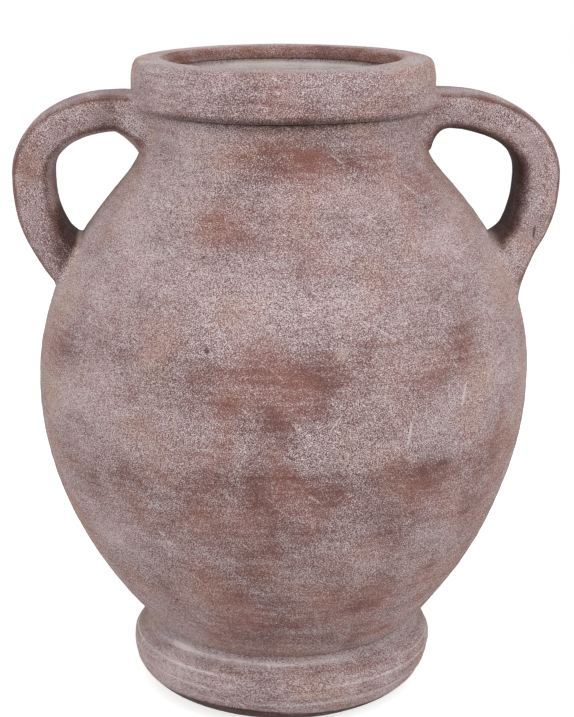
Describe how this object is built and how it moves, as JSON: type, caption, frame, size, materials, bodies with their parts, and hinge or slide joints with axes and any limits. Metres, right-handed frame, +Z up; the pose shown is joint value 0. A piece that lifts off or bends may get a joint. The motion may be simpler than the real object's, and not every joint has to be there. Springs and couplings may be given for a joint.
{
  "type": "two-handled amphora",
  "caption": "Terracotta amphora with a round belly, a foot ring, a banded rim and strap handles from the rim to the shoulder.",
  "frame": {"origin": "centre of the foot ring's flat tread, on the ground", "axes": "+Z up along the axis of the vessel, +X towards the right handle, -Y towards the viewer"},
  "size_m": [0.3474, 0.3182, 0.42],
  "materials": {
    "foot_clay": "matt, whitewashed",
    "body_clay": "matt, whitewashed",
    "rim_clay": "matt, whitewashed",
    "handle_clay": "matt, whitewashed"
  },
  "bodies": {
    "root": {"foot_ring": "foot_clay", "lower_bowl": "body_clay", "upper_bowl": "body_clay", "rim_collar": "rim_clay", "left_handle": "handle_clay", "right_handle": "handle_clay"}
  },
  "joints": []
}
